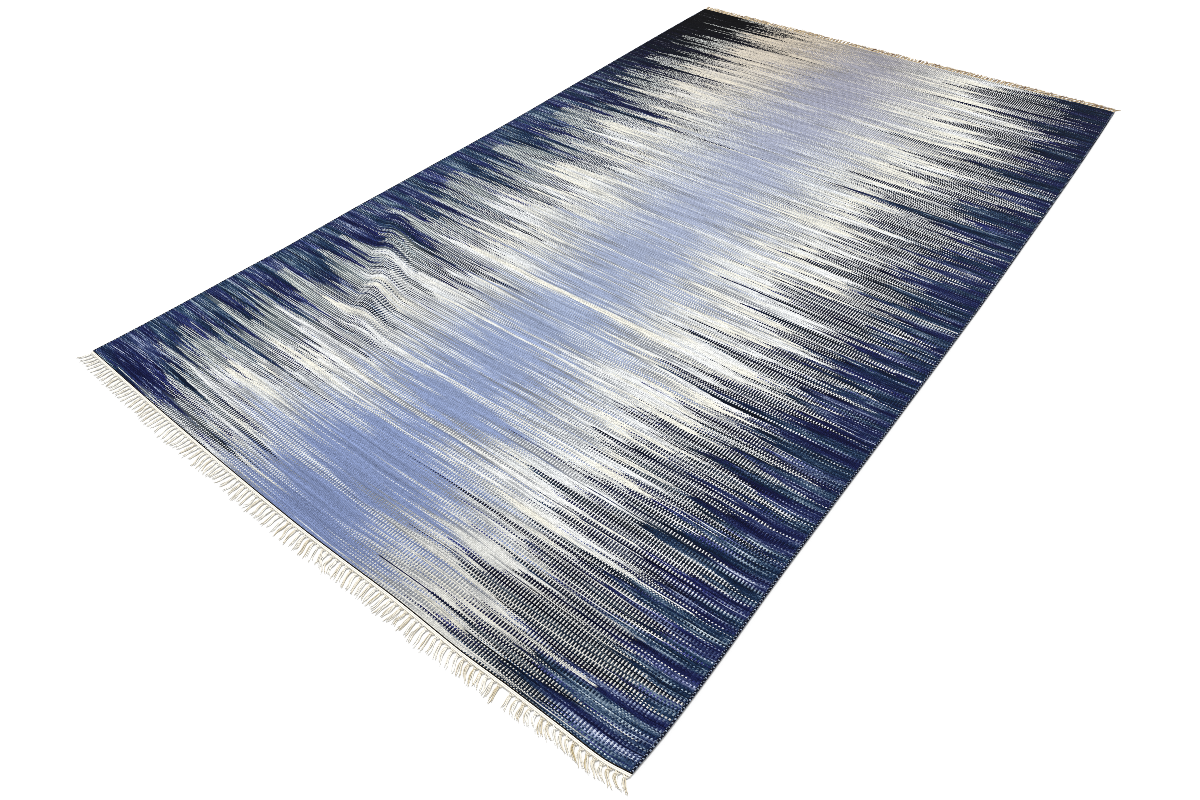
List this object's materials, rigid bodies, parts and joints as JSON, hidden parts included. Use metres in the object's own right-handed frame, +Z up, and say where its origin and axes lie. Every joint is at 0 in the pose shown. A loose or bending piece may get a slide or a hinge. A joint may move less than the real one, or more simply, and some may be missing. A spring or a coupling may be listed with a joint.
{
  "type": "dhurrie rug",
  "caption": "Flat-woven rug with streaked blue, cream and navy bands along its length and a knotted cotton fringe at both ends.",
  "frame": {"origin": "middle of the rug's box, on the floor that it lies on", "axes": "+X across the rug to its right side, +Y along it to its far fringe, +Z up from the floor"},
  "size_m": [1.5568, 2.6364, 0.0341],
  "materials": {
    "wool_weft": "matte ribbed flat weave in streaks of navy, cream and lavender blue",
    "white_cotton": "matte twisted cotton, off-white",
    "golden_cotton": "matte twisted cotton, golden beige"
  },
  "bodies": {
    "root": {"rug_field": "wool_weft", "fringe_near": "white_cotton", "fringe_far": "golden_cotton"}
  },
  "joints": []
}
